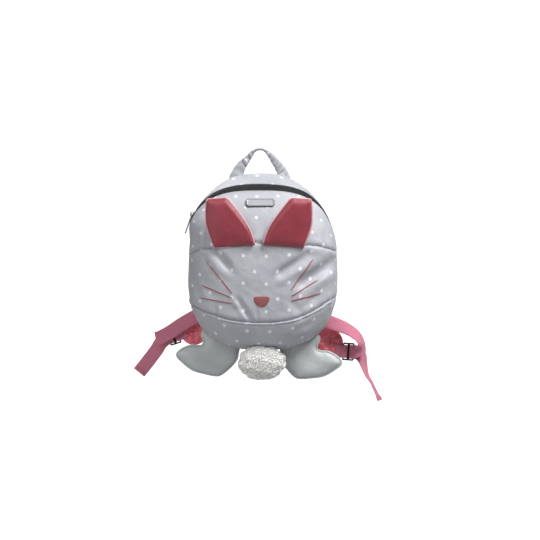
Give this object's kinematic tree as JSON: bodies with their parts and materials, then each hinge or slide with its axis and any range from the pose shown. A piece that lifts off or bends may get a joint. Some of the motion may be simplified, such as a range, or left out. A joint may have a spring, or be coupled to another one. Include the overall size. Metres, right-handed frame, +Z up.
{
  "type": "toddler backpack",
  "caption": "Child's backpack shaped as a rabbit's face, hanging by its grab handle, with dotted grey fabric, padded ears and feet, fleece tail, zip and shoulder straps.",
  "frame": {"origin": "point under the top of the grab handle where the bag hangs", "axes": "+Z up, the front of the bag faces -Y, +X to the right as seen from the front"},
  "size_m": [0.3624, 0.1417, 0.3684],
  "materials": {
    "dotted_fabric": "smooth satin polyester, grey with white polka dots",
    "plain_grey_fabric": "smooth satin polyester",
    "crimson_fabric": "smooth satin polyester",
    "nose_embroidery": "satin stitch embroidery",
    "fleece": "curly pile",
    "zip_tape": "matte woven tape",
    "zip_coil": "nylon coil",
    "zip_metal": "plated",
    "badge_metal": "blank satin plate",
    "coral_fabric": "padded polyester",
    "rose_webbing": "ribbed webbing",
    "buckle_plastic": "moulded"
  },
  "bodies": {
    "bag": {"back_panel": "dotted_fabric", "gusset": "dotted_fabric", "upper_panel": "dotted_fabric", "face_panel": "dotted_fabric", "lower_panel": "dotted_fabric", "zip_tape_rear": "zip_tape", "zip_tape_front": "zip_tape", "zip_coil": "zip_coil", "zip_slider": "zip_metal", "handle": "dotted_fabric", "badge": "badge_metal", "nose": "nose_embroidery", "ear_left": "crimson_fabric", "ear_right": "crimson_fabric", "foot_left": "plain_grey_fabric", "foot_right": "plain_grey_fabric", "tail": "fleece", "pad_left": "coral_fabric", "tab_left": "rose_webbing", "buckle_left": "buckle_plastic", "webbing_left": "rose_webbing", "pad_right": "coral_fabric", "tab_right": "rose_webbing", "buckle_right": "buckle_plastic", "webbing_right": "rose_webbing"},
    "puller": {"zip_puller": "zip_metal"}
  },
  "joints": [
    {"name": "puller_hinge", "type": "hinge", "parent": "bag", "child": "puller", "pos_m": [-0.09811, -0.03944, -0.09211], "axis": [-0.1166, 0.9903, 0.0756], "range_deg": [0, 150]}
  ]
}
